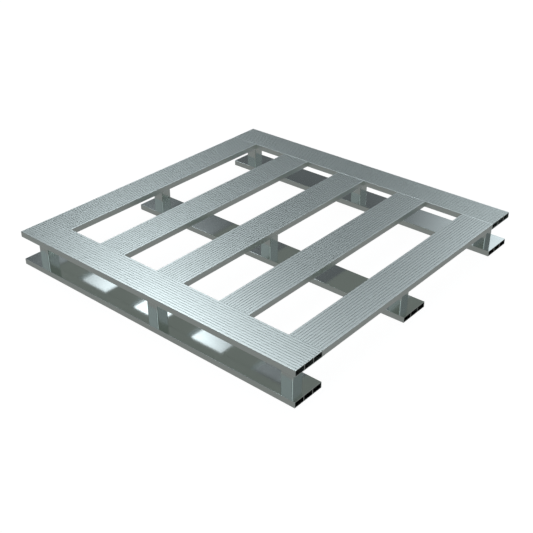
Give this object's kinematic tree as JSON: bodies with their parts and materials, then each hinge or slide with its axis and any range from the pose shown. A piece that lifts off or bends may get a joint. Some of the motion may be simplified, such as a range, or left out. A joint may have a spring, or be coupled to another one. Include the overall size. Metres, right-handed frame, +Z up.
{
  "type": "pallet",
  "caption": "Flat square metal pallet of ribbed hollow extruded boards on short square posts, with room for lifting forks from every side.",
  "frame": {"origin": "on the floor, under the middle of the pallet", "axes": "+Z up; +X along the end boards and bottom boards; +Y along the long deck boards, from the near end to the far end"},
  "size_m": [1.2, 1.2, 0.128],
  "materials": {
    "board_aluminium": "mill finish extrusion with a fine lengthwise grain",
    "post_aluminium": "mill finish extrusion, grain along its height"
  },
  "bodies": {
    "root": {"near_end_board": "board_aluminium", "far_end_board": "board_aluminium", "deck_board_1": "board_aluminium", "deck_board_2": "board_aluminium", "deck_board_3": "board_aluminium", "deck_board_4": "board_aluminium", "deck_board_5": "board_aluminium", "bottom_board_1": "board_aluminium", "bottom_board_2": "board_aluminium", "bottom_board_3": "board_aluminium", "post_row_1_1": "post_aluminium", "post_row_1_2": "post_aluminium", "post_row_1_3": "post_aluminium", "post_row_2_1": "post_aluminium", "post_row_2_2": "post_aluminium", "post_row_2_3": "post_aluminium", "post_row_3_1": "post_aluminium", "post_row_3_2": "post_aluminium", "post_row_3_3": "post_aluminium"}
  },
  "joints": []
}
